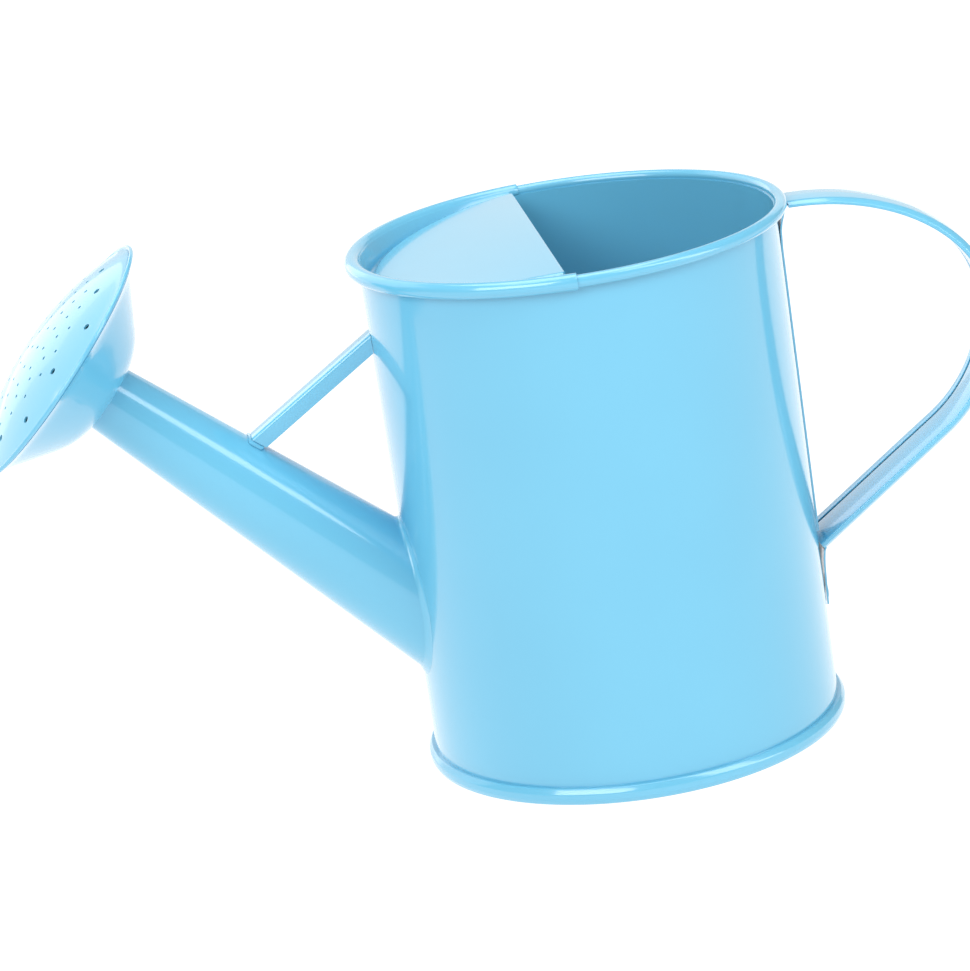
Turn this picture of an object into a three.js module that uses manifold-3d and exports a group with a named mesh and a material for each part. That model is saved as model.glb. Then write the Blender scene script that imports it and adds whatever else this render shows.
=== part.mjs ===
// A small watering can of painted sheet steel: a round body with a wired rim and a half hood,
// a tapered spout with a brace and a perforated rose, and a strap handle that closes on itself.
// Millimetres, +Z up. The spout points to -X, the handle to +X, and the can stands on z = 0.
import * as THREE from 'three';
import { mergeVertices, mergeGeometries } from 'three/addons/utils/BufferGeometryUtils.js';
import Module from 'manifold-3d';

const wasm = await Module();
wasm.setup();

// ---- Driving dimensions ------------------------------------------------------------------
const GAP = 0.3;                 // clearance between neighbouring pieces
const SHEET = 0.6;               // sheet steel thickness

const BODY_R_TOP = 49.1;         // outside radius of the wall under the rim
const BODY_R_BASE = 48.8;        // outside radius of the wall over the base seam
const ROUND = 60;                // segments round the body

const RIM_R = 50.3;              // centreline radius of the wired rim
const RIM_Z = 123.8;             // its centreline height
const RIM_TUBE = 1.45;           // outside radius of the rolled edge
const RIM_WIRE = 0.65;           // radius of the wire inside it

const BASE_H = 4;                // height of the base seam
const BASE_R = 50.5;             // its outside radius
const SEAM_INNER_R = 47.9;       // its inside radius
const FLOOR_Z = 2.6;             // underside of the recessed bottom
const FLANGE_Z = 0.7;            // lower edge of the bottom's flange inside the seam
const LAP_HALF = 3;              // half width of the wall's lap seam
const CURL_OPEN = 18;            // half of the rolled edge's opening, in degrees
const CURL_SHEET = 0.5;

const HOOD_EDGE = 7;             // hood's straight edge, in front of the body axis
const HOOD_R = 44.3;             // radius of its raised panel, inside the groove along the rim
const HOOD_TOP = 125;            // height of the straight edge
const HOOD_FALL = 0.058;         // slope of the panel at that edge
const HOOD_BOW = 0.0016;         // the slope steepens towards the spout
const HEM_R = 2.05;              // outside radius of the hood's hem round the rim
const HEM_SHEET = 0.3;
const FOLD_W = 4;                // width of the fold behind its straight edge
const FLANGE_TOP = 124.6;        // the hood's flange reaches the hem at this height all round
const GROOVE_Z = 122.75;         // groove beside a level panel
const FLANGE_R = HOOD_R + 2.9;   // the flange lies outside this radius
const HEM_REACH = 84.6;          // half angle that the hem wraps, in degrees

const SPOUT_START = 50;          // the spout axis passes this far in front of the body axis
const SPOUT_Z = 45.4;            // at this height
const SPOUT_RISE = 43.4;         // rise of the axis, in degrees
const SPOUT_R = 13.3;            // outside radius at that point
const SPOUT_TAPER = 0.0634;      // loss of radius for each millimetre along the axis
const SPOUT_LENGTH = 84.6;
const SOLDER = 1.1;              // reach of the solder on the wall and on the spout
const SPOUT_LAP_HALF = 1.6;
const SPOUT_LAP_SHEET = 0.4;
const SPOUT_LAP_TURN = 45;       // its lap seam lies this far behind its underside, in degrees

const BRACE_W = 6.3;
const BRACE_D = 3.9;
const FOOT_MARGIN = 1;           // the foot plate is wider than the brace by this on each side
const BRACE_ON_SPOUT = 49.5;     // where the brace meets the spout, along the spout axis
const BRACE_WALL_Z = 105.8;      // where it meets the wall

const SPIGOT_R = 7.05;           // spigot of the rose, which pushes into the end of the spout
const SPIGOT_AT = 77;            // its open end, along the spout axis
const SPIGOT_SHEET = 0.55;
const ROSE_R = 31.05;            // radius of the perforated face
const LIP_AT = 99.2;             // lip of the rose, along the spout axis
const LIP_TUBE = 0.5;
const DOME = 7;                  // rise of the face at its centre
const OUTER_HOLES = 13;          // holes near the lip, at two radii in turn
const OUTER_HOLE_AT = [24.2, 26.8];
const OUTER_HOLE_R = 0.8;
const INNER_HOLE_RINGS = [[4.4, 5], [8.8, 10], [13, 15], [16.6, 18], [20.2, 20]];   // radius, holes
const INNER_HOLE_R = 0.45;

const GRIP_TOP = 122.9;          // top face of the handle at the rim
const GRIP_FROM = 52.6;          // the top run is level at this distance behind the axis
const GRIP_REACH = 98.6;         // back of the handle
const GRIP_BACK_Z = 90;          // height of its furthest point
const GRIP_BEND = 36.1;          // radius of the lower bend
const GRIP_FALL = 34.6;          // slope of the lower run, in degrees
const GRIP_FOOT = 50.1;          // its outer face ends here, behind the axis
const GRIP_W_TOP = 12.6;
const GRIP_W_FOOT = 16.4;
const GRIP_START = 52.4;         // its upper end, clear of the rim
const GRIP_D_TOP = 1.5;          // depth of the folded strap at the rim
const GRIP_D_FOOT = 2.6;

const LEG_W = 12.6;              // strap leg on the back of the wall
const STRIP = 0.45;              // sheet thickness of the leg and the tab
const LEG_Z0 = 43;
const TAB_Z0 = 24.2;             // lower end of the welded tab
const WELD_R = 1.9;
const WELD_H = 0.4;              // height of a weld's button

// ---- Helpers -----------------------------------------------------------------------------
const rad = THREE.MathUtils.degToRad;
const V2 = (x, y) => new THREE.Vector2(x, y);
const V3 = (x, y, z) => new THREE.Vector3(x, y, z);

const paint = new THREE.MeshStandardMaterial({ color: 0x7fd2f5, roughness: 0.25, metalness: 0.1 });
const palePaint = new THREE.MeshStandardMaterial({ color: 0x9bdcf6, roughness: 0.28, metalness: 0.1 });
const bareSteel = new THREE.MeshStandardMaterial({ color: 0x9aa2a8, roughness: 0.4, metalness: 1 });

// Position-only geometry with its shared vertices merged, as the solid library needs.
function welded(geometry) {
  const bare = geometry.index ? geometry.toNonIndexed() : geometry.clone();
  for (const name of Object.keys(bare.attributes)) if (name !== 'position') bare.deleteAttribute(name);
  return mergeVertices(bare, 1e-4);
}

function solid(geometry) {
  const g = welded(geometry);
  return new wasm.Manifold(new wasm.Mesh({
    numProp: 3,
    vertProperties: new Float32Array(g.attributes.position.array),
    triVerts: new Uint32Array(g.index.array),
  }));
}

function geometryOf(manifold) {
  const mesh = manifold.getMesh();
  const g = new THREE.BufferGeometry();
  g.setAttribute('position', new THREE.BufferAttribute(new Float32Array(mesh.vertProperties), 3));
  g.setIndex(new THREE.BufferAttribute(new Uint32Array(mesh.triVerts), 1));
  return g;
}

// A profile of [radius, z] points turned about the Z axis, from one angle through another.
function turned(profile, segments = ROUND, start = 0, sweep = 2 * Math.PI) {
  const points = profile.map(([r, z]) => V2(r, z));
  const lathe = new THREE.LatheGeometry(points, segments, start, sweep);
  return lathe.rotateX(Math.PI / 2);
}

// A closed turned ring whose profile runs round the section anticlockwise.
const ring = (profile, segments) => turned([...profile, profile[0]], segments);

// Points on an arc about a centre, angles in degrees.
function arc(cx, cy, r, from, to, steps) {
  return Array.from({ length: steps + 1 }, (_, i) => {
    const t = rad(from + (to - from) * i / steps);
    return [cx + r * Math.cos(t), cy + r * Math.sin(t)];
  });
}

function box(x0, x1, y0, y1, z0, z1) {
  return new THREE.BoxGeometry(x1 - x0, y1 - y0, z1 - z0)
    .translate((x0 + x1) / 2, (y0 + y1) / 2, (z0 + z1) / 2);
}

const drum = (r, z0, z1, segments = ROUND) => turned([[0, z0], [r, z0], [r, z1], [0, z1]], segments);

const can = new THREE.Group();
function piece(name, geometry, material = paint) {
  const mesh = new THREE.Mesh(geometry, material);
  mesh.name = name;
  can.add(mesh);
  return mesh;
}

// ---- Spout frame: its own Z runs along the spout from the wall to the rose ------------------
const spoutAxis = V3(-Math.cos(rad(SPOUT_RISE)), 0, Math.sin(rad(SPOUT_RISE)));
const spoutUp = V3(Math.sin(rad(SPOUT_RISE)), 0, Math.cos(rad(SPOUT_RISE)));
const spoutPlace = new THREE.Matrix4()
  .makeBasis(spoutUp, spoutAxis.clone().cross(spoutUp), spoutAxis)
  .setPosition(-SPOUT_START, 0, SPOUT_Z);
const spoutRadius = (t) => SPOUT_R - SPOUT_TAPER * t;
const onSpout = (t, lift) => V3(-SPOUT_START, 0, SPOUT_Z)
  .addScaledVector(spoutAxis, t).addScaledVector(spoutUp, spoutRadius(t) + lift);
const alongSpout = (geometry) => geometry.applyMatrix4(spoutPlace);
const cone = (t0, t1, grow, segments = 36) => alongSpout(turned(
  [[0, t0], [spoutRadius(t0) + grow, t0], [spoutRadius(t1) + grow, t1], [0, t1]], segments));

// ---- Body --------------------------------------------------------------------------------
const wallTop = RIM_Z - RIM_TUBE;
const wallRadius = (z) => BODY_R_BASE + (BODY_R_TOP - BODY_R_BASE) * (z - BASE_H) / (wallTop - BASE_H);

const wall = solid(ring([
  [wallRadius(BASE_H + GAP), BASE_H + GAP], [wallRadius(wallTop), wallTop],
  [wallRadius(wallTop) - SHEET, wallTop], [wallRadius(BASE_H) - SHEET, BASE_H + GAP],
]));
piece('body_wall', geometryOf(wall.subtract(solid(cone(-30, 40, -SHEET - 0.4)))));

// The wall's ends lap at the back, and the lap shows inside as a flat strip.
const seamStrip = solid(ring([
  [BODY_R_BASE - SHEET - GAP, BASE_H + 1], [BODY_R_TOP - SHEET - GAP, wallTop - 1],
  [BODY_R_TOP - 2 * SHEET - GAP, wallTop - 1], [BODY_R_BASE - 2 * SHEET - GAP, BASE_H + 1],
])).intersect(solid(box(40, 60, -LAP_HALF, LAP_HALF, 0, 200)));
piece('body_lap_seam', geometryOf(seamStrip));

// The rolled edge is open underneath, where its curl meets the wall, and holds a steel wire.
piece('rim_rolled_edge', ring([
  ...arc(RIM_R, RIM_Z, RIM_TUBE, -90 + CURL_OPEN, 270 - CURL_OPEN, 10),
  ...arc(RIM_R, RIM_Z, RIM_TUBE - CURL_SHEET, 270 - CURL_OPEN, -90 + CURL_OPEN, 6),
]));
piece('rim_wire', ring(arc(RIM_R, RIM_Z, RIM_WIRE, 0, 360 - 60, 5), ROUND), bareSteel);

piece('base_seam_ring', ring([
  [SEAM_INNER_R, 0.5], [SEAM_INNER_R + 0.5, 0], [BASE_R - 0.9, 0], [BASE_R - 0.3, 0.4], [BASE_R, 1.2],
  [BASE_R, 2.9], [BASE_R - 0.4, 3.7], [BASE_R - 1.1, BASE_H], [SEAM_INNER_R, BASE_H],
]));
const bottomR = SEAM_INNER_R - GAP;
piece('base_bottom', turned([
  [0, FLOOR_Z], [bottomR - SHEET, FLOOR_Z], [bottomR - SHEET, FLANGE_Z], [bottomR, FLANGE_Z],
  [bottomR, FLOOR_Z + SHEET], [0, FLOOR_Z + SHEET],
]));

// ---- Hood --------------------------------------------------------------------------------
// The panel falls away from its straight edge, and its fall steepens towards the spout.
const hoodDrop = (x) => {
  const run = Math.max(-x - HOOD_EDGE, 0);
  return HOOD_FALL * run + HOOD_BOW * run * run;
};
function bowed(manifold) {
  return manifold.refineToLength(6).warp((v) => {
    const onFlange = Math.hypot(v[0], v[1]) > FLANGE_R;
    const share = onFlange ? (v[2] - GROOVE_Z) / (FLANGE_TOP - GROOVE_Z) : 0;
    v[2] -= hoodDrop(v[0]) * (1 - Math.min(Math.max(share, 0), 1));
  });
}
const frontHalf = (edge) => solid(box(-80, -edge, -80, 80, 60, 160));

// Raised panel, rounded shoulder, groove along the rim and flange up to the hem.
const hoodBlank = solid(turned([
  [0, HOOD_TOP - SHEET], [44.2, HOOD_TOP - SHEET], [45, 124.15], [45.3, 123.8], [45.45, 122.8],
  [46.2, 122.2], [47.2, 122.2], [47.95, 122.7], [48, FLANGE_TOP],
  [47.5, FLANGE_TOP], [47.4, 123], [47, GROOVE_Z], [46.4, GROOVE_Z], [45.95, 123.1], [45.8, 123.9],
  [45.5, 124.5], [45, 124.85], [HOOD_R, HOOD_TOP], [0, HOOD_TOP],
]));
piece('hood_panel', geometryOf(bowed(hoodBlank.intersect(frontHalf(HOOD_EDGE)))), palePaint);

// The straight edge is folded back under the panel, so that it isn't sharp.
const fold = solid(drum(HOOD_R - 1, HOOD_TOP - 2 * SHEET - 0.15, HOOD_TOP - SHEET - 0.15))
  .intersect(solid(box(-HOOD_EDGE - FOLD_W, -HOOD_EDGE, -80, 80, 60, 160)));
piece('hood_edge_fold', geometryOf(bowed(fold)), palePaint);

// The hem wraps the rolled edge from the wall, over the top and down to the panel.
const hemSection = [
  ...arc(RIM_R, RIM_Z, HEM_R, -62, 196, 10),
  ...arc(RIM_R, RIM_Z, HEM_R - HEM_SHEET, 196, -62, 8),
];
const hemWedge = new THREE.Shape();
hemWedge.moveTo(0, 0);
for (const [x, y] of arc(0, 0, 90, 180 - HEM_REACH, 180 + HEM_REACH, 8)) hemWedge.lineTo(x, y);
const wedge = solid(new THREE.ExtrudeGeometry(hemWedge, { depth: 40, bevelEnabled: false })
  .translate(0, 0, 100));
piece('hood_hem', geometryOf(solid(ring(hemSection)).intersect(wedge)));

// ---- Spout -------------------------------------------------------------------------------
const bodyDrum = (grow) => solid(turned([
  [0, -10], [BODY_R_BASE + grow, -10], [BODY_R_BASE + grow, BASE_H],
  [BODY_R_TOP + grow, wallTop], [BODY_R_TOP + grow, 200], [0, 200],
], 72));
const spout = solid(cone(-30, SPOUT_LENGTH, 0)).subtract(solid(cone(-31, SPOUT_LENGTH + 1, -SHEET)))
  .subtract(bodyDrum(GAP));
piece('spout_tube', geometryOf(spout));

// A fillet of solder runs round the foot of the spout.
const fillet = solid(cone(-30, 40, GAP + SOLDER)).subtract(solid(cone(-31, 41, GAP)))
  .intersect(bodyDrum(GAP + SOLDER)).subtract(bodyDrum(GAP));
piece('spout_solder_fillet', geometryOf(fillet));

// The tube is rolled from a flat blank, and its edges lap low on the far side.
const lap = solid(cone(0, SPOUT_LENGTH - 9, GAP + SPOUT_LAP_SHEET))
  .subtract(solid(cone(-1, SPOUT_LENGTH - 8, GAP)))
  .intersect(solid(alongSpout(box(-30, 0, -SPOUT_LAP_HALF, SPOUT_LAP_HALF, 3, SPOUT_LENGTH - 8)
    .rotateZ(rad(-SPOUT_LAP_TURN)))))
  .subtract(bodyDrum(GAP + SOLDER + GAP));
piece('spout_lap_seam', geometryOf(lap));

// ---- Brace -------------------------------------------------------------------------------
// A channel, open underneath, from the top of the spout up to the wall.
const braceFoot = onSpout(BRACE_ON_SPOUT, 0);
const braceHead = V3(-BODY_R_TOP, 0, BRACE_WALL_Z);
const braceDir = braceHead.clone().sub(braceFoot).normalize();
const braceSpan = braceHead.distanceTo(braceFoot);
const braceUp = V3(0, 1, 0).cross(braceDir).negate();
const bracePlace = new THREE.Matrix4()
  .makeBasis(braceDir, braceUp.clone().cross(braceDir), braceUp)
  .setPosition(braceFoot);
const alongBrace = (geometry) => solid(geometry.applyMatrix4(bracePlace));
const half = BRACE_D / 2;
const channel = alongBrace(box(-12, braceSpan + 8, -BRACE_W / 2, BRACE_W / 2, -half, half))
  .subtract(alongBrace(box(-13, braceSpan + 9, -BRACE_W / 2 + SHEET, BRACE_W / 2 - SHEET,
    -half - 1, half - SHEET)))
  .subtract(solid(cone(0, 80, 2 * GAP + SHEET))).subtract(bodyDrum(GAP));
piece('brace_channel', geometryOf(channel.intersect(solid(box(-90, -20, -5, 5, 70, 120)))), palePaint);

// The channel stands on a small plate that lies along the spout, soldered down.
const footPad = solid(cone(0, 80, GAP + SHEET)).subtract(solid(cone(-1, 81, GAP)))
  .intersect(solid(alongSpout(box(0, 30, -BRACE_W / 2 - FOOT_MARGIN, BRACE_W / 2 + FOOT_MARGIN,
    BRACE_ON_SPOUT - 1.8, BRACE_ON_SPOUT + 2.6))));
piece('brace_foot', geometryOf(footPad));

// Inside the channel's head a bent tab is welded to the wall.
const headTab = bodyDrum(GAP + SHEET).subtract(bodyDrum(GAP))
  .intersect(solid(box(-60, -40, -BRACE_W / 2 + SHEET + GAP, BRACE_W / 2 - SHEET - GAP,
    BRACE_WALL_Z - 1.6, BRACE_WALL_Z + 0.6)));
piece('brace_head_tab', geometryOf(headTab));

// ---- Rose --------------------------------------------------------------------------------
// The spigot pushes into the end of the spout, so the rose turns on it and pulls off.
piece('rose_spigot', alongSpout(ring([
  [SPIGOT_R - SPIGOT_SHEET, SPIGOT_AT], [SPIGOT_R, SPIGOT_AT], [SPIGOT_R, SPOUT_LENGTH + 2],
  [SPIGOT_R - SPIGOT_SHEET, SPOUT_LENGTH + 2],
], 36)));

// The bowl widens from a flat shoulder against the spout's end to the lip.
const shoulder = SPOUT_LENGTH + GAP;
const bowlOuter = [[SPIGOT_R + GAP, shoulder], [8.6, shoulder], [12.2, shoulder + 0.7], [15.8, 87.3],
  [20.5, 91], [25, 94.7], [28, 97], [30.4, 98]];
const bowlInner = bowlOuter.slice().reverse().map(([r, t], i) =>
  (i === 0 ? [r, t + SHEET] : [Math.max(r - SHEET * 0.5, SPIGOT_R + GAP), t + SHEET * 0.85]));
piece('rose_bowl', alongSpout(ring([...bowlOuter, ...bowlInner], 48)));

piece('rose_lip', alongSpout(ring(arc(ROSE_R + GAP + LIP_TUBE, LIP_AT, LIP_TUBE, 0, 315, 7), 48)));

// The face is pressed to a shallow dome and punched with rings of holes.
const domeR = (ROSE_R ** 2 + DOME ** 2) / (2 * DOME);
const domeHeight = (r) => Math.sqrt(domeR ** 2 - r ** 2) - domeR + DOME;
const faceSteps = [0, 6, 12, 17, 21.5, 25.5, 28.5, ROSE_R];
const faceAt = LIP_AT + 0.1;
const blank = turned([
  ...faceSteps.map((r) => [r, faceAt - SHEET / 2 + domeHeight(r)]),
  ...faceSteps.slice().reverse().map((r) => [r, faceAt + SHEET / 2 + domeHeight(r)]),
], 48);
const punches = [];
const punch = (r, turn, size) => punches.push(new THREE.CylinderGeometry(size, size, 20, 6)
  .rotateX(Math.PI / 2).translate(r * Math.cos(turn), r * Math.sin(turn), faceAt + DOME / 2));
punch(0, 0, INNER_HOLE_R);
for (const [r, count] of INNER_HOLE_RINGS) {
  for (let i = 0; i < count; i += 1) punch(r, 2 * Math.PI * i / count, INNER_HOLE_R);
}
for (let i = 0; i < OUTER_HOLES; i += 1) {
  punch(OUTER_HOLE_AT[i % 2], -2 * Math.PI * (i + 1) / OUTER_HOLES, OUTER_HOLE_R);
}
const face = solid(blank).subtract(solid(mergeGeometries(punches)));
piece('rose_face', alongSpout(geometryOf(face)), palePaint);

// ---- Handle ------------------------------------------------------------------------------
// Outline of the strap's outer face in the XZ plane: a level start at the rim, a quarter
// ellipse to the back, a lower bend and a straight run down to the wall.
function gripOutline() {
  const points = [[GRIP_START, GRIP_TOP]];
  const ax = GRIP_REACH - GRIP_FROM;
  const az = GRIP_TOP - GRIP_BACK_Z;
  for (let i = 0; i <= 16; i += 1) {
    const t = Math.PI / 2 * i / 16;
    points.push([GRIP_FROM + ax * Math.sin(t), GRIP_BACK_Z + az * Math.cos(t)]);
  }
  const turn = 90 - GRIP_FALL;
  const bend = arc(GRIP_REACH - GRIP_BEND, GRIP_BACK_Z, GRIP_BEND, 0, -turn, 8).slice(1);
  points.push(...bend);
  const [x, z] = bend[bend.length - 1];
  const slope = Math.tan(rad(GRIP_FALL));
  for (const f of [0.33, 0.66, 1]) {
    const nx = x + (GRIP_FOOT - x) * f;
    points.push([nx, z - (x - nx) * slope]);
  }
  return points;
}

// The strap is folded into a flat tube: a crowned outer face, and two flaps folded inwards that
// leave a slit between them, nearer the +Y edge. Each point is [across, depth] as fractions
// of the width and the depth.
const sectionShape = [
  [-0.5, 0.45], [-0.42, 0.12], [-0.2, 0], [0.2, 0], [0.42, 0.12], [0.5, 0.45], [0.5, 0.75],
  [0.44, 1], [0.31, 1], [0.31, 0.7], [0.4, 0.62], [0.38, 0.32], [-0.38, 0.32], [-0.4, 0.62],
  [0.24, 0.7], [0.24, 1], [-0.44, 1], [-0.5, 0.75],
];

function stripAlong(outline, section, widthAt, depthAt) {
  const n = section.length;
  const verts = [];
  const index = [];
  outline.forEach(([x, z], i) => {
    const [ax, az] = outline[Math.max(i - 1, 0)];
    const [bx, bz] = outline[Math.min(i + 1, outline.length - 1)];
    const len = Math.hypot(bx - ax, bz - az);
    const inX = (bz - az) / len;             // towards the inside of the loop
    const inZ = -(bx - ax) / len;
    const f = i / (outline.length - 1);
    for (const [across, deep] of section) {
      const d = deep * depthAt(f);
      verts.push(x + inX * d, across * widthAt(f), z + inZ * d);
    }
    if (i === 0) return;
    for (let k = 0; k < n; k += 1) {
      const p = (i - 1) * n + k;
      const q = (i - 1) * n + (k + 1) % n;
      index.push(p, p + n, q, q, p + n, q + n);
    }
  });
  const flat = THREE.ShapeUtils.triangulateShape(section.map(([u, v]) => V2(u, v)), []);
  const last = (outline.length - 1) * n;
  for (const [a, b, c] of flat) {
    index.push(a, b, c);
    index.push(last + a, last + c, last + b);
  }
  const g = new THREE.BufferGeometry();
  g.setAttribute('position', new THREE.BufferAttribute(new Float32Array(verts), 3));
  g.setIndex(index);
  return g;
}

const mix = (a, b, f) => a + (b - a) * Math.min(Math.max(f, 0), 1);
const strap = stripAlong(gripOutline(), sectionShape,
  (f) => mix(GRIP_W_TOP, GRIP_W_FOOT, f * 1.3),
  (f) => mix(GRIP_D_TOP, GRIP_D_FOOT, f * 2.2));
const lowerWall = bodyDrum(GAP).intersect(solid(box(0, 60, -20, 20, 30, 60)));
piece('handle_strap', geometryOf(solid(strap).subtract(lowerWall)));

// The strap's thin upper end turns down under the rim and follows the wall as a flat leg.
const flatSection = [-0.5, -0.25, 0, 0.25, 0.5].map((u) => [u, 0])
  .concat([0.5, 0.25, 0, -0.25, -0.5].map((u) => [u, 1]));
// A flat strip bent to the round wall: the outline gives the radius and height of its outer face.
function wallStrip(outline, width) {
  const g = stripAlong(outline, flatSection, () => width, () => STRIP);
  const p = g.attributes.position;
  for (let i = 0; i < p.count; i += 1) p.setX(i, Math.sqrt(p.getX(i) ** 2 - p.getY(i) ** 2));
  return g;
}
const onWall = (z) => [wallRadius(z) + GAP + STRIP, z];
piece('handle_leg', wallStrip([
  [51.3, 121.6], [51.1, 120.8], [50.7, 119.6], [50.25, 118.2], [49.95, 116.6],
  onWall(112), onWall(90), onWall(66), onWall(LEG_Z0),
], LEG_W));

// The strap's lower end turns down as a tab, welded to the wall at its tip.
piece('handle_tab', wallStrip([
  [50.55, 37.4], [50.15, 36.4], [49.95, 35], [49.8, 33.2], onWall(30.5), onWall(27), onWall(TAB_Z0),
], GRIP_W_FOOT - 2));

// Spot welds: low buttons left by the electrodes on the leg and on the tab.
const button = turned([[0, 0], [WELD_R, 0], [WELD_R * 0.75, WELD_H * 0.7], [0, WELD_H]], 12)
  .rotateY(Math.PI / 2);
const weldSpots = {
  weld_leg_upper: [49.9, 0, 104], weld_leg_lower: [49.75, 0, 50],
  weld_tab_left: [49.7, -3.6, 26.8], weld_tab_right: [49.7, 3.6, 26.8],
};
for (const [name, [x, y, z]] of Object.entries(weldSpots)) {
  piece(name, button.clone()).position.set(x + GAP, y, z);
}

// ---- Placing: the middle of the whole can's footprint comes to the origin -----------------
const extent = new THREE.Box3().setFromObject(can);
can.position.set(-(extent.min.x + extent.max.x) / 2, -(extent.min.y + extent.max.y) / 2, -extent.min.z);
const group = new THREE.Group();
group.add(can);

export default group;
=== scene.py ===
"""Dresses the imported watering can: painted sheet steel pieces, a studio and a camera."""
import logging
import math
from dataclasses import dataclass, field
from enum import Enum
from typing import Any, Callable, Sequence

import bmesh
import bpy
from mathutils import Matrix, Vector


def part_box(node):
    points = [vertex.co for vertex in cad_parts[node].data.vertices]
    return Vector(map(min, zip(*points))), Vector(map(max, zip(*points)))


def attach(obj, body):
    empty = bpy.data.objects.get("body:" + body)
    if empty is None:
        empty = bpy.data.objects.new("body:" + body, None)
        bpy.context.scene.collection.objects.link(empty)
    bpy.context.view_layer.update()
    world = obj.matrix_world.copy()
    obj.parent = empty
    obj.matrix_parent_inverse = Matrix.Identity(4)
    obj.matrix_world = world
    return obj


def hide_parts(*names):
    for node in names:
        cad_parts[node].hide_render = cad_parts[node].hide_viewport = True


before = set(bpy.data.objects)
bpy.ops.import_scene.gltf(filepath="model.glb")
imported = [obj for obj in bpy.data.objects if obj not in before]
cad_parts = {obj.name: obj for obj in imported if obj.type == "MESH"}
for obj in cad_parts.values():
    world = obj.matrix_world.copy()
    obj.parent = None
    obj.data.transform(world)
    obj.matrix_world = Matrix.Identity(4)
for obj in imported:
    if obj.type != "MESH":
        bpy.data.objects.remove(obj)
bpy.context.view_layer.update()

log = logging.getLogger("watering_can")

MM = 0.001  # the sizes below are millimetres; Blender works in metres
TURN_STEPS = 192  # facets round a full turn of the body
TUBE_STEPS = 144  # facets round the spout and the rose
FULL = 360.0  # degrees in a full turn
NEAR = 1e-3  # points closer than this are at one place
UP = Vector((0, 0, 1))
CREASE = math.radians(38)  # edges sharper than this are shaded as creases
SHEET = 0.5  # painted sheet steel

Point = tuple[float, float]
Corner = tuple[float, float, float]  # a point and its rounding, or three coordinates


# ---- Outlines ----

def arc(centre: Point, radius: float, start: float, end: float, steps: int) -> list[Point]:
    """Points along an arc.

    Args:
        centre: Centre of the arc.
        radius: Radius of the arc.
        start: First angle in degrees.
        end: Last angle in degrees.
        steps: Number of chords.

    Returns:
        The steps + 1 points of the arc.
    """
    turns = [math.radians(start + (end - start) * i / steps) for i in range(steps + 1)]
    return [(centre[0] + radius * math.cos(a), centre[1] + radius * math.sin(a)) for a in turns]


def rounded(corners: Sequence[Corner], closed: bool = True, steps: int = 4) -> list[Point]:
    """Rounds the corners of an outline with arcs.

    Args:
        corners: Each corner as (across, along, radius); a radius of 0 keeps it sharp.
        closed: Whether the outline joins its own start.
        steps: Chords in each rounded corner.

    Returns:
        The points of the rounded outline.
    """
    points: list[Point] = []
    count = len(corners)
    for i, (x, y, radius) in enumerate(corners):
        at_end = not closed and i in (0, count - 1)
        if radius <= 0 or at_end:
            points.append((x, y))
            continue
        here = Vector((x, y))
        back = (Vector(corners[i - 1][:2]) - here).normalized()
        ahead = (Vector(corners[(i + 1) % count][:2]) - here).normalized()
        half = back.angle(ahead) / 2
        centre = here + (back + ahead).normalized() * radius / math.sin(half)
        first = here + back * radius / math.tan(half) - centre
        side = 1 if back.cross(ahead) < 0 else -1
        for k in range(steps + 1):
            spoke = first.copy()
            spoke.rotate(Matrix.Rotation(side * (math.pi - 2 * half) * k / steps, 2))
            points.append(tuple(centre + spoke))
    return points


def eased(points: Sequence[Point], steps: int = 5) -> list[Point]:
    """Draws a smooth curve through points, as a bent batten does.

    Args:
        points: Points that the curve passes through.
        steps: Chords between neighbouring points.

    Returns:
        The points of the curve.
    """
    ends = [points[0], *points, points[-1]]
    curve: list[Point] = []
    for a, b, c, d in zip(ends, ends[1:], ends[2:], ends[3:]):
        for k in range(steps):
            t = k / steps
            weights = (-t + 2 * t**2 - t**3, 2 - 5 * t**2 + 3 * t**3, t + 4 * t**2 - 3 * t**3, t**3 - t**2)
            curve.append(tuple(sum(w * p[n] for w, p in zip(weights, (a, b, c, d))) / 2 for n in (0, 1)))
    return [*curve, tuple(points[-1])]


def blend(a: float, b: float, share: float) -> float:
    """Goes from a to b as share goes from 0 to 1, and stays at the nearer end outside that."""
    return a + (b - a) * min(max(share, 0.0), 1.0)


def crossing(near: float, far: float, holds: Callable[[float], bool]) -> float:
    """Halves a span until it finds where a test stops holding.

    Args:
        near: A value at which the test holds.
        far: A value at which it does not.
        holds: The test.

    Returns:
        The value where it changes.
    """
    for _ in range(40):
        middle = (near + far) / 2
        if holds(middle):
            near = middle
        else:
            far = middle
    return far


# ---- Shaping ----

def verts_in(geom: Sequence[Any]) -> list[Any]:
    """The vertices among some geometry."""
    return [g for g in geom if isinstance(g, bmesh.types.BMVert)]


def edges_in(geom: Sequence[Any]) -> list[Any]:
    """The edges among some geometry."""
    return [g for g in geom if isinstance(g, bmesh.types.BMEdge)]


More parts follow.
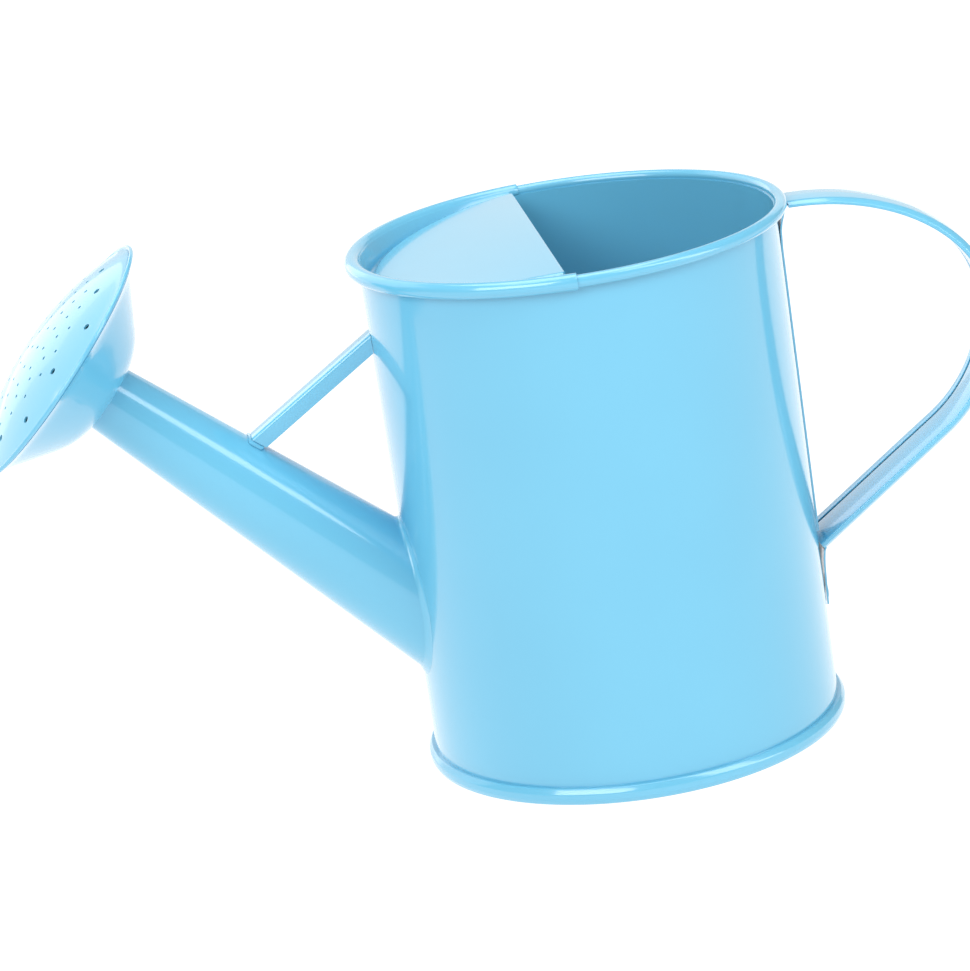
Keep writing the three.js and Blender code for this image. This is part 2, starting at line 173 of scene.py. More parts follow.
class Blank:
    """A piece under way: a bmesh in millimetres about the body's axis, with its shaping tools."""

    def __init__(self) -> None:
        """Starts with an empty mesh."""
        self.bm = bmesh.new()

    def spin(self, points: Sequence[Point], closed: bool, steps: int,
             sweep: float, start: float) -> "Blank":
        """Spins an outline of (radius, height) points about the Z axis and leaves its borders open.

        Args:
            points: The outline.
            closed: Whether the outline is closed.
            steps: Facets in the sweep.
            sweep: Angle turned through, in degrees.
            start: Angle where the sweep starts, in degrees.

        Returns:
            This blank.
        """
        verts = [self.bm.verts.new((x, 0.0, z)) for x, z in points]
        pairs = list(zip(verts, verts[1:])) + ([(verts[-1], verts[0])] if closed else [])
        geom = [*verts, *(self.bm.edges.new(pair) for pair in pairs)]
        bmesh.ops.rotate(self.bm, verts=verts, cent=(0, 0, 0),
                         matrix=Matrix.Rotation(math.radians(start), 3, "Z"))
        bmesh.ops.spin(self.bm, geom=geom, cent=(0, 0, 0), axis=(0, 0, 1), dvec=(0, 0, 0),
                       angle=math.radians(sweep), steps=steps, use_merge=sweep >= FULL, use_duplicate=False)
        return self

    def turn(self, points: Sequence[Point], closed: bool = True, steps: int = TURN_STEPS,
             sweep: float = FULL, start: float = 0.0) -> "Blank":
        """Turns an outline about the Z axis, as spin does, and caps the ends of a part turn."""
        self.spin(points, closed, steps, sweep, start)
        bmesh.ops.remove_doubles(self.bm, verts=self.bm.verts, dist=1e-4)
        if sweep < FULL:
            self.cap()
        return self.face_out()

    def cap(self) -> "Blank":
        """Closes every open border with a face."""
        rims = [e for e in self.bm.edges if e.is_boundary]
        if rims:
            bmesh.ops.holes_fill(self.bm, edges=rims, sides=0)
        return self

    def face_out(self) -> "Blank":
        """Turns all faces outwards."""
        bmesh.ops.recalc_face_normals(self.bm, faces=self.bm.faces)
        return self

    def face_to(self, side: Vector) -> "Blank":
        """Turns a sheet's faces to one side: the given one, on the whole."""
        self.face_out().bm.normal_update()
        if sum(f.normal.dot(side) * f.calc_area() for f in self.bm.faces) < 0:
            bmesh.ops.reverse_faces(self.bm, faces=self.bm.faces)
        return self

    def sweep(self, stations: Sequence[Sequence[Vector]]) -> "Blank":
        """Draws a closed section along a row of stations and caps its ends.

        Args:
            stations: The section's points at each station, all with the same count.

        Returns:
            This blank.
        """
        verts = [self.bm.verts.new(p) for p in stations[0]]
        edges = [self.bm.edges.new((a, b)) for a, b in zip(verts, verts[1:] + verts[:1])]
        for station in stations[1:]:
            made = bmesh.ops.extrude_edge_only(self.bm, edges=edges)["geom"]
            new_edges = [e for e in edges_in(made) if not e.link_faces[1:]]
            pushed = {v: v.co.copy() for v in verts_in(made)}
            before = [v.co.copy() for v in verts]
            verts = [min(pushed, key=lambda v, at=at: (pushed[v] - at).length_squared) for at in before]
            for vert, place in zip(verts, station):
                vert.co = place
            edges = [e for e in new_edges if all(v in pushed for v in e.verts)]
        return self.cap().face_out()

    def extend(self, border: Sequence[Any], place: Callable[[Vector], Vector]) -> list[Any]:
        """Draws a border out and places its new vertices.

        Args:
            border: Border edges.
            place: Gives a new vertex's place from the old one.

        Returns:
            The new border edges.
        """
        made = bmesh.ops.extrude_edge_only(self.bm, edges=border)["geom"]
        for vert in verts_in(made):
            vert.co = place(vert.co)
        return edges_in(made)

    def thicken(self, inwards: float) -> "Blank":
        """Gives a sheet its thickness, on the side away from its normals."""
        bmesh.ops.solidify(self.bm, geom=self.bm.faces[:], thickness=inwards)
        return self

    def soften(self, width: float, sharper_than: float = 40.0) -> "Blank":
        """Rounds every edge that is sharper than an angle.

        Args:
            width: Width of the rounding.
            sharper_than: Angle between faces, in degrees.

        Returns:
            This blank.
        """
        limit = math.radians(sharper_than)
        edges = [e for e in self.bm.edges if len(e.link_faces) == 2 and e.calc_face_angle(0.0) > limit]
        bmesh.ops.bevel(self.bm, geom=edges, offset=width, affect="EDGES", segments=2,
                        profile=0.5, material=-1, clamp_overlap=True)
        return self

    def move(self, matrix: Matrix) -> "Blank":
        """Transforms the whole blank."""
        bmesh.ops.transform(self.bm, matrix=matrix, verts=self.bm.verts)
        return self

    def bend(self, place: Callable[[Vector], Vector]) -> "Blank":
        """Moves each vertex to where a function says."""
        for vert in self.bm.verts:
            vert.co = place(vert.co)
        return self

    def pierce(self, cutter: "Blank") -> "Blank":
        """Cuts another blank's solid out of this one.

        Args:
            cutter: The solid to remove; it is used up.

        Returns:
            This blank, cut.
        """
        work, tool = (bpy.data.objects.new(n, bpy.data.meshes.new(n)) for n in ("work", "tool"))
        for obj, blank in ((work, self), (tool, cutter)):
            blank.bm.to_mesh(obj.data)
            bpy.context.scene.collection.objects.link(obj)
        cut = work.modifiers.new("cut", "BOOLEAN")
        cut.object, cut.operation, cut.solver = tool, "DIFFERENCE", "EXACT"
        evaluated = work.evaluated_get(bpy.context.evaluated_depsgraph_get())
        self.bm.clear()
        self.bm.from_mesh(evaluated.to_mesh())
        evaluated.to_mesh_clear()
        for obj in (work, tool):
            bpy.data.meshes.remove(obj.data)
        cutter.bm.free()
        return self


# ---- Finishes ----

def linear(hex_colour: str) -> tuple[float, float, float, float]:
    """Turns an sRGB hex colour into a linear one with alpha 1."""
    parts = [int(hex_colour[i:i + 2], 16) / 255 for i in (1, 3, 5)]
    return (*(c / 12.92 if c <= 0.04045 else ((c + 0.055) / 1.055) ** 2.4 for c in parts), 1.0)


def node(tree: bpy.types.NodeTree, kind: str, settings: dict[str, Any] | None = None,
         inputs: dict[str, Any] | None = None) -> bpy.types.Node:
    """Adds a node with its settings and links.

    Args:
        tree: The node tree.
        kind: The node's type.
        settings: Attributes of the node.
        inputs: Values or output sockets for its inputs, by name.

    Returns:
        The node.
    """
    made = tree.nodes.new(kind)
    for name, value in (settings or {}).items():
        setattr(made, name, value)
    for name, value in (inputs or {}).items():
        socket = made.inputs[name]
        if isinstance(value, bpy.types.NodeSocket):
            tree.links.new(value, socket)
        else:
            socket.default_value = value
    return made


def fresh_material(name: str) -> tuple[bpy.types.Material, bpy.types.NodeTree, bpy.types.Node]:
    """Starts a node material.

    Args:
        name: The material's name.

    Returns:
        The material, its node tree and its shader.
    """
    made = bpy.data.materials.new(name)
    made.use_nodes = True
    return made, made.node_tree, made.node_tree.nodes["Principled BSDF"]


@dataclass(frozen=True)
class StovedEnamel:
    """Glossy stoved enamel sprayed on sheet steel: a clear even colour, a wet-looking surface with a
    faint orange peel, and slow waves where the spray ran thicker."""

    name: str
    light_hex: str = "#6DBFDF"
    deep_hex: str = "#68B9DA"
    roughness: float = 0.2
    peel_mm: float = 1.6  # real peel is about this wide
    peel_depth_mm: float = 0.004
    wave_mm: float = 34.0  # spray waves, as wide as a gun's overlap
    gloss_change: float = 0.03  # of the roughness, over the waves
    coat: float = 0.8
    coat_roughness: float = 0.06
    lumps_mm: float = 0.0  # solder under the paint adds lumps of this size
    lump_depth_mm: float = 0.0

    def material(self) -> bpy.types.Material:
        """Builds the material."""
        made, tree, shader = fresh_material(self.name)
        place = node(tree, "ShaderNodeTexCoord").outputs["Object"]
        waves = node(tree, "ShaderNodeTexNoise", inputs={
            "Vector": place, "Scale": 1 / (self.wave_mm * MM), "Detail": 2.0, "Roughness": 0.5})
        colour = node(tree, "ShaderNodeMix", {"data_type": "RGBA"}, {"Factor": waves.outputs["Fac"]})
        colour.inputs[6].default_value = linear(self.deep_hex)
        colour.inputs[7].default_value = linear(self.light_hex)
        peel = node(tree, "ShaderNodeTexNoise", inputs={
            "Vector": place, "Scale": 1 / (self.peel_mm * MM), "Detail": 1.0, "Roughness": 0.4})
        bump = node(tree, "ShaderNodeBump", inputs={
            "Height": peel.outputs["Fac"], "Strength": 1.0, "Distance": self.peel_depth_mm * MM})
        if self.lumps_mm:
            lumps = node(tree, "ShaderNodeTexNoise", inputs={
                "Vector": place, "Scale": 1 / (self.lumps_mm * MM), "Detail": 2.0})
            bump = node(tree, "ShaderNodeBump", inputs={
                "Height": lumps.outputs["Fac"], "Strength": 1.0, "Distance": self.lump_depth_mm * MM,
                "Normal": bump.outputs["Normal"]})
        gloss = node(tree, "ShaderNodeMapRange", inputs={
            "Value": waves.outputs["Fac"], "To Min": self.roughness - self.gloss_change,
            "To Max": self.roughness + self.gloss_change})
        tree.links.new(colour.outputs[2], shader.inputs["Base Color"])
        tree.links.new(gloss.outputs["Result"], shader.inputs["Roughness"])
        tree.links.new(bump.outputs["Normal"], shader.inputs["Normal"])
        shader.inputs["IOR"].default_value = 1.52
        shader.inputs["Coat Weight"].default_value = self.coat
        shader.inputs["Coat Roughness"].default_value = self.coat_roughness
        return made


@dataclass(frozen=True)
class DrawnWire:
    """Bright drawn steel wire: fine draw marks along it and a dull grey sheen."""

    name: str
    grey_hex: str = "#9AA0A4"
    marks_mm: float = 0.3

    def material(self) -> bpy.types.Material:
        """Builds the material."""
        made, tree, shader = fresh_material(self.name)
        place = node(tree, "ShaderNodeTexCoord").outputs["Object"]
        marks = node(tree, "ShaderNodeTexNoise", inputs={
            "Vector": place, "Scale": 1 / (self.marks_mm * MM)})
        gloss = node(tree, "ShaderNodeMapRange", inputs={
            "Value": marks.outputs["Fac"], "To Min": 0.3, "To Max": 0.5})
        tree.links.new(gloss.outputs["Result"], shader.inputs["Roughness"])
        shader.inputs["Base Color"].default_value = linear(self.grey_hex)
        shader.inputs["Metallic"].default_value = 1.0
        return made


class Finish(Enum):
    """The finishes of the can's pieces, each with the record's material slot."""

    ENAMEL = (StovedEnamel("stoved_enamel_sprayed_on_sheet_steel"), "sky_blue_enamel")
    SOLDER = (
        StovedEnamel("stoved_enamel_over_soft_solder", lumps_mm=1.8, lump_depth_mm=0.12), "sky_blue_enamel")
    PUNCHED = (StovedEnamel("stoved_enamel_on_punched_steel", roughness=0.3), "sky_blue_enamel")
    WIRE = (DrawnWire("drawn_steel_wire"), "wire_steel")

    def dress(self, piece: bpy.types.Object) -> None:
        """Gives a piece this finish."""
        look, slot_name = self.value
        piece.data.materials.clear()
        piece.data.materials.append(bpy.data.materials.get(look.name) or look.material())


# ---- Bench ----

@dataclass(frozen=True)
class Datum:
    """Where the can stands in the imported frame."""

    axis_x: float  # body axis, from the frame's origin

    @classmethod
    def from_frame(cls) -> "Datum":
        """Reads the body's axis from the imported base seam, a plain ring about it."""
        low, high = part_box("base_seam_ring")
        return cls((low.x + high.x) / 2 / MM)

    def to_row(self) -> Matrix:
        """The matrix from millimetres about the body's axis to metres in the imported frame."""
        return Matrix.Translation((self.axis_x * MM, 0, 0)) @ Matrix.Scale(MM, 4)


DATUM = Datum.from_frame()


def hand_over(blank: Blank, name: str, *nodes: str, body: str = "can",
              finish: Finish = Finish.ENAMEL) -> None:
    """Makes a finished piece of a blank.

    Args:
        blank: The shaped blank, used up.
        name: Name of the piece.
        nodes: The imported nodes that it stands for.
        body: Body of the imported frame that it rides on.
        finish: Its finish.
    """
    blank.move(DATUM.to_row())
    mesh = bpy.data.meshes.new(name)
    blank.bm.to_mesh(mesh)
    blank.bm.free()
    mesh.shade_smooth()
    mesh.set_sharp_from_angle(angle=CREASE)
    piece = bpy.data.objects.new(name, mesh)
    bpy.context.scene.collection.objects.link(piece)
    finish.dress(piece)
    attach(piece, body)
    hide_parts(*nodes)
    log.info("%s: %d faces, for %s", name, len(mesh.polygons), ", ".join(nodes))


@dataclass(frozen=True)
class Wall:
    """The body's wall, which the other pieces meet."""

    top_radius: float = 49.1
    base_radius: float = 48.8
    top: float = 123.3
    base: float = 3.4

    def radius(self, height: float) -> float:
        """Outside radius of the wall at a height."""
        return blend(self.base_radius, self.top_radius, (height - self.base) / (self.top - self.base))


WALL = Wall()


# ---- Spout frame ----

@dataclass(frozen=True)
class SpoutLine:
    """The spout's axis and taper. Distances along it start in front of the wall."""

    start: float = 50.0
    height: float = 45.4
    rise: float = 43.4
    radius_at_start: float = 13.3
    taper: float = 0.0634
    length: float = 84.6

    def along(self) -> Vector:
        """Direction of the spout, towards the rose."""
        rise = math.radians(self.rise)
        return Vector((-math.cos(rise), 0, math.sin(rise)))

    def frame(self) -> Matrix:
        """Matrix from the spout's own axes, Z along it and X on its upper side, to the can's."""
        along = self.along()
        upper = Vector((along.z, 0, -along.x))
        turn = Matrix((upper, along.cross(upper), along)).transposed().to_4x4()
        return Matrix.Translation((-self.start, 0, self.height)) @ turn

    def radius(self, along: float) -> float:
        """Outside radius of the spout."""
        return self.radius_at_start - self.taper * along

    def point(self, turn: float, along: float, lift: float = 0.0) -> Vector:
        """A point on the spout, in the can's axes.

        Args:
            turn: Angle round the spout from its upper side, in radians.
            along: Distance along the axis.
            lift: Height above the surface.

        Returns:
            The point.
        """
        reach = self.radius(along) + lift
        return self.frame() @ Vector((reach * math.cos(turn), reach * math.sin(turn), along))

    def outward(self, turn: float, along: float) -> Vector:
        """Direction square to the axis, at an angle round the spout."""
        return self.point(turn, along, 1.0) - self.point(turn, along)

    def foot(self, turn: float) -> float:
        """Distance along the axis where a line along the spout, at an angle in radians, meets the wall."""
        def inside(along: float) -> bool:
            at = self.point(turn, along)
            return math.hypot(at.x, at.y) < WALL.radius(at.z)

        return crossing(-25.0, 60.0, inside)


LINE = SpoutLine()


# ---- Sub-assemblies ----

@dataclass
class BodyShell:
    """The wall, its lap seam, the wired rim, the base seam and the recessed bottom."""

    rim_radius: float = 50.3
    rim_height: float = 123.8
    rim_tube: float = 1.45
    curl: Point = (-110.0, 205.0)  # angles round the wire where the rolled edge starts and ends
    swage: tuple[Point, ...] = ((4.3, 0.0), (5.2, 0.12), (8.0, 0.0115))  # height, how proud of the base
    bore_step: float = 0.9  # the wall's hole is smaller in radius than the spout by this
    bore_ends: Point = (-30.0, 40.0)
    lap_ends: Point = (4.6, 119.0)
    lap_angle: float = 7.0  # degrees
    seam_height: float = 4.0
    seam_inner: float = 48.0
    seam_radius: float = 50.5
    bottom_height: float = 2.6
    step: float = 0.5  # height of the bottom's stiffening step

    def wall(self) -> None:
        """Rolls the wall, with a fine swage over the base seam, and cuts the spout's hole."""
        outside = [(WALL.base_radius, WALL.base)]
        outside += [(WALL.base_radius + proud, z) for z, proud in self.swage]
        outside += [(WALL.radius(z), z) for z in (30.0, 60.0, 90.0, WALL.top)]
        inside = [(r - SHEET, z) for r, z in reversed(outside)]
        low, high = self.bore_ends
        bore = [(0.0, low), *((LINE.radius(z) - self.bore_step, z) for z in (low, high)), (0.0, high)]
        cutter = Blank().turn(bore, closed=False, steps=96).move(LINE.frame())
        blank = Blank().turn(outside + inside).pierce(cutter)
        hand_over(blank, "wall", "body_wall")

    def lap_seam(self) -> None:
        """Lays the lap of the wall's ends down the inside of its back."""
        inner = WALL.base_radius - SHEET
        low, high = self.lap_ends
        strip = rounded([(inner + 0.1, low, 0), (inner + 0.35, high, 0), (inner + 0.05, high, 0.1),
                         (inner - 0.25, low, 0.1)])
        blank = Blank().turn(strip, steps=8, sweep=self.lap_angle, start=-self.lap_angle / 2)
        hand_over(blank, "wall_lap", "body_lap_seam")

    def rim(self) -> None:
        """Rolls the wall's edge round its wire."""
        centre = (self.rim_radius, self.rim_height)
        section = arc(centre, self.rim_tube, *self.curl, 28)
        section += arc(centre, self.rim_tube - SHEET, *reversed(self.curl), 20)
        hand_over(Blank().turn(section), "rolled_rim", "rim_rolled_edge")

    def base(self) -> None:
        """Folds the base seam and presses the bottom with its stiffening step."""
        top, out, inner = self.seam_height, self.seam_radius, self.seam_inner
        seam = rounded([(inner, 0.3, 0.2), (inner + 0.3, 0.0, 0.3), (out - 0.5, 0.0, 1.0), (out, 1.4, 1.2),
                        (out, top - 1.2, 1.1), (out - 0.8, top, 0.5), (inner, top, 0.2)], steps=6)
        hand_over(Blank().turn(seam), "base_seam", "base_seam_ring")
        low = self.bottom_height
        raised = low + self.step
        pan = rounded([
            (0.0, raised, 0), (33.0, raised, 2.0), (35.0, low, 2.0), (46.6, low, 0.6), (47.0, 0.7, 0.1),
            (47.6, 0.7, 0.1), (47.6, low + SHEET, 0.6), (35.4, low + SHEET, 2.0),
            (33.4, raised + SHEET, 2.0), (0.0, raised + SHEET, 0)], closed=False)
        hand_over(Blank().turn(pan, closed=False), "bottom_pan", "base_bottom")

    def build(self) -> None:
        """Builds the shell's pieces and finishes the wire that the rim hides."""
        self.wall()
        self.lap_seam()
        self.rim()
        self.base()
        Finish.WIRE.dress(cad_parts["rim_wire"])


@dataclass
class Hood:
    """The half cover over the spout side of the mouth: a raised panel with rounded shoulders, a
    groove along the rim and a hem rolled over it."""

    edge: float = 7.0  # straight edge, in front of the axis
    edge_height: float = 125.0
    radius: float = 44.3  # of the raised panel
    fall: float = 0.058  # slope at the straight edge
    bow: float = 0.0016  # the slope steepens towards the front
    sheet: float = 0.45
    spacing: float = 1.5  # between the rows of facets across the panel
    fold_radius: float = 0.6  # of the straight edge, turned under
    fold_width: float = 4.0
    fold_taper: float = 0.985  # the turned-under part is this much shorter
    hem_radius: float = 1.9
    hem_sheet: float = 0.4
    hem_curl: Point = (-78.0, 190.0)  # angles round the wire where the hem starts and ends
    hem_reach: float = 84.6  # degrees either side of the spout
    flange_top: float = 124.6
    border: tuple[Point, ...] = (  # steps of the border: outwards, upwards
        (0.4, -0.04), (0.35, -0.13), (0.3, -0.25), (0.22, -0.36), (0.12, -0.42), (0.04, -0.6),
        (0.08, -0.35), (0.22, -0.22), (0.45, -0.1), (0.5, 0.06), (0.45, 0.26), (0.35, 0.5))

    def drop(self, x: float) -> float:
        """How far the panel lies below its straight edge."""
        run = max(-x - self.edge, 0.0)
        return self.fall * run + self.bow * run * run

    def panel(self) -> None:
        """Presses the panel, draws its border down to the rim and folds its straight edge under."""
        blank = Blank()
        bm = blank.bm
        bmesh.ops.create_circle(bm, cap_ends=True, segments=TURN_STEPS, radius=self.radius)
        for i in range(25):
            bmesh.ops.bisect_plane(bm, geom=[*bm.verts, *bm.edges, *bm.faces], plane_no=(1, 0, 0),
                                   plane_co=(-self.edge - self.spacing * i, 0, 0), clear_outer=i == 0)
        blank.bend(lambda p: Vector((p.x, p.y, self.edge_height - self.drop(p.x))))
        border = [e for e in bm.edges if e.is_boundary]
        straight = [e for e in border if all(abs(v.co.x + self.edge) < NEAR for v in e.verts)]
        rim = [e for e in border if e not in straight]
        for reach, rise in self.border:
            rim = blank.extend(rim, self.outwards(reach, lambda z, rise=rise: z + rise))
        rim = blank.extend(rim, self.outwards(0.4, lambda z: self.flange_top - 0.4))
        blank.extend(rim, self.outwards(0.35, lambda z: self.flange_top))
        for x, z in arc((-self.edge, self.edge_height - self.fold_radius), self.fold_radius, 60, -90, 6):
            straight = blank.extend(straight, lambda p, x=x, z=z: Vector((x, p.y, z)))
        end = -self.edge - self.fold_width
        under = self.edge_height - 2 * self.fold_radius - self.drop(end)
        blank.extend(straight, lambda p: Vector((end, p.y * self.fold_taper, under)))
        blank.face_to(UP).thicken(self.sheet)
        hand_over(blank, "hood", "hood_panel", "hood_edge_fold")

    def outwards(self, reach: float, height: Callable[[float], float]) -> Callable[[Vector], Vector]:
        """One step of the round border, whose ends stay on the line of the straight edge.

        Args:
            reach: How far out the border goes.
            height: Gives the new height from the old one.

        Returns:
            The function that places a border vertex.
        """
        def place(p: Vector) -> Vector:
            spread = math.hypot(p.x, p.y)
            wider = spread + reach
            x = p.x if abs(p.x + self.edge) <= NEAR else p.x * wider / spread
            y = math.copysign(math.sqrt(max(wider ** 2 - x ** 2, 0.0)), p.y)
            return Vector((x, y, height(p.z)))

        return place

    def hem(self, shell: BodyShell) -> None:
        """Rolls the hood's border over the rim, from the wall outside to the flange inside."""
        centre = (shell.rim_radius, shell.rim_height)
        section = arc(centre, self.hem_radius, *self.hem_curl, 26)
        section += arc(centre, self.hem_radius - self.hem_sheet, *reversed(self.hem_curl), 22)
        blank = Blank().turn(section, steps=110, sweep=2 * self.hem_reach, start=180 - self.hem_reach)
        blank.soften(0.12, sharper_than=60.0)
        hand_over(blank, "hood_rolled_hem", "hood_hem")

    def build(self, shell: BodyShell) -> None:
        """Builds the panel and the hem."""
        self.panel()
        self.hem(shell)


@dataclass
class Spout:
    """The tapered tube, the solder round its foot and its lap seam."""

    fillet: float = 1.5  # reach of the solder on the wall and on the tube
    fillet_fill: float = 0.12  # how much fuller than a plain hollow
    fillet_sheet: float = 0.1
    lap_width: float = 16.0  # width of the lap, in degrees round the tube
    lap_turn: float = 135.0  # its middle, in degrees round the tube from the upper side
    lap_proud: float = 0.35
    lap_sheet: float = 0.4
    blank_radius: float = 10.0  # of a tube before it is slid into place; any will do

    def slide(self, blank: Blank, top: float, lift: float = 0.0) -> Blank:
        """Sets a turned tube round the spout's axis, with its lower end on the wall.

        Args:
            blank: A tube turned about its own axis, from 0 to 1 along it.
            top: Where its upper end lies along the spout.
            lift: Height above the spout's surface.

        Returns:
            The blank in the can's axes.
        """
        feet: dict[float, float] = {}

        def place(p: Vector) -> Vector:
            turn = math.atan2(p.y, p.x)
            key = round(turn, 5)
            if key not in feet:
                feet[key] = LINE.foot(turn)
            return LINE.point(turn, feet[key] + (top - feet[key]) * p.z, lift)

        return blank.bend(place)

    def tube(self) -> None:
        """Rolls the tube from the wall to the rose."""
        rings = [(self.blank_radius, i / 24) for i in range(25)]
        blank = Blank().turn(rings, closed=False, steps=TUBE_STEPS)
        self.slide(blank, LINE.length)
        blank.face_out().thicken(SHEET)
        hand_over(blank, "spout", "spout_tube")

    def solder(self) -> None:
        """Runs the fillet of solder round the foot: a hollow curve from the wall to the tube."""
        blank = Blank().turn([(self.blank_radius, k / 8) for k in range(9)], closed=False, steps=TUBE_STEPS)

        def place(p: Vector) -> Vector:
            turn = math.atan2(p.y, p.x)
            foot = LINE.foot(turn)
            corner = LINE.point(turn, foot)
            up_tube = (LINE.point(turn, foot + 1) - corner).normalized()
            wall_out = Vector((corner.x, corner.y, 0)).normalized()
            tube_out = LINE.outward(turn, foot).normalized()
            on_wall = (tube_out - wall_out * tube_out.dot(wall_out)).normalized()
            curve = (on_wall * (1 - p.z) ** 2 + up_tube * p.z ** 2) * self.fillet
            return corner + curve + (wall_out + tube_out) * self.fillet_fill * math.sin(math.pi * p.z)

        blank.bend(place).face_out().thicken(self.fillet_sheet)
        hand_over(blank, "spout_solder", "spout_solder_fillet", finish=Finish.SOLDER)

    def lap(self) -> None:
        """Lays the lap seam low on the far side."""
        rings = [(self.blank_radius, i / 20) for i in range(21)]
        blank = Blank().spin(rings, False, 6, self.lap_width, self.lap_turn - self.lap_width / 2)
        self.slide(blank, LINE.length - 1.0, self.lap_proud)
        blank.face_to(LINE.outward(math.radians(self.lap_turn), 0.0)).thicken(self.lap_sheet).soften(0.12)
        hand_over(blank, "spout_lap", "spout_lap_seam")

    def build(self) -> None:
        """Builds the spout's pieces."""
        self.tube()
        self.solder()
        self.lap()


@dataclass
class Brace:
    """The channel that stiffens the spout, its foot plate and the tab in its head."""

    width: float = 6.3
    depth: float = 3.9
    along_spout: float = 49.5
    wall_height: float = 105.8
    corner: float = 0.8
    edge: float = 0.1  # rounding of the cut edges
    spout_gap: float = 0.75  # between the channel's foot and the spout, filled by the plate
    wall_gap: float = 0.05
    plate_half: Point = (4.1, 2.1)  # half the foot plate, across and along the spout
    plate_shift: float = 0.4
    plate_lift: float = 0.6  # of its upper face, over the spout
    plate_sheet: float = 0.55

    def channel(self) -> None:
        """Folds the channel, open underneath, and trims its ends to the spout and the wall."""
        foot = LINE.point(0.0, self.along_spout)
        head = Vector((-WALL.radius(self.wall_height), 0, self.wall_height))
        along = (head - foot).normalized()
        across = Vector((0, 1, 0))
        upper = along.cross(across)
        half_w, half_d = self.width / 2, self.depth / 2
        in_w, in_d = half_w - SHEET, half_d - SHEET
        section = rounded([
            (-half_w, -half_d, self.edge), (-half_w, half_d, self.corner), (half_w, half_d, self.corner),
            (half_w, -half_d, self.edge), (in_w, -half_d, self.edge), (in_w, in_d, self.corner / 2),
            (-in_w, in_d, self.corner / 2), (-in_w, -half_d, self.edge)])
        middles = [(foot + head) / 2 + across * y + upper * z for y, z in section]
        lows = [self.travel(middle, -along, self.off_spout) for middle in middles]
        highs = [self.travel(middle, along, self.off_wall) for middle in middles]
        stations = [[low.lerp(high, i / 12) for low, high in zip(lows, highs)] for i in range(13)]
        hand_over(Blank().sweep(stations), "brace", "brace_channel")

    def off_spout(self, p: Vector) -> float:
        """Height of a point above the foot plate's level on the spout."""
        at = LINE.frame().inverted() @ p
        return at.xy.length - LINE.radius(at.z) - self.spout_gap

    def off_wall(self, p: Vector) -> float:
        """Distance of a point from the wall, less the gap that is kept."""
        return p.xy.length - WALL.radius(p.z) - self.wall_gap

    @staticmethod
    def travel(start: Vector, heading: Vector, clearance: Callable[[Vector], float]) -> Vector:
        """Goes along a unit heading from a point until a clearance falls to zero."""
        return start + heading * crossing(0.0, 40.0, lambda run: clearance(start + heading * run) > 0)

    def foot_plate(self) -> None:
        """Bends the foot plate to the spout and rounds its corners."""
        blank = Blank()
        bmesh.ops.create_grid(blank.bm, x_segments=12, y_segments=12, size=1.0)
        half_w, half_l = self.plate_half

        def place(p: Vector) -> Vector:
            reach = (p.x ** 6 + p.y ** 6) ** (1 / 6) / max(abs(p.x), abs(p.y), 1e-6)
            squircle = 1 / max(reach, 1.0)
            along = self.along_spout + self.plate_shift + p.y * squircle * half_l
            return LINE.point(p.x * squircle * half_w / LINE.radius(along), along, self.plate_lift)

        blank.bend(place).face_to(LINE.outward(0.0, self.along_spout))
        blank.thicken(self.plate_sheet).soften(0.15)
        hand_over(blank, "brace_foot_plate", "brace_foot")

    def build(self) -> None:
        """Builds the brace and finishes the tab hidden in its head."""
        self.channel()
        self.foot_plate()
        Finish.ENAMEL.dress(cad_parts["brace_head_tab"])


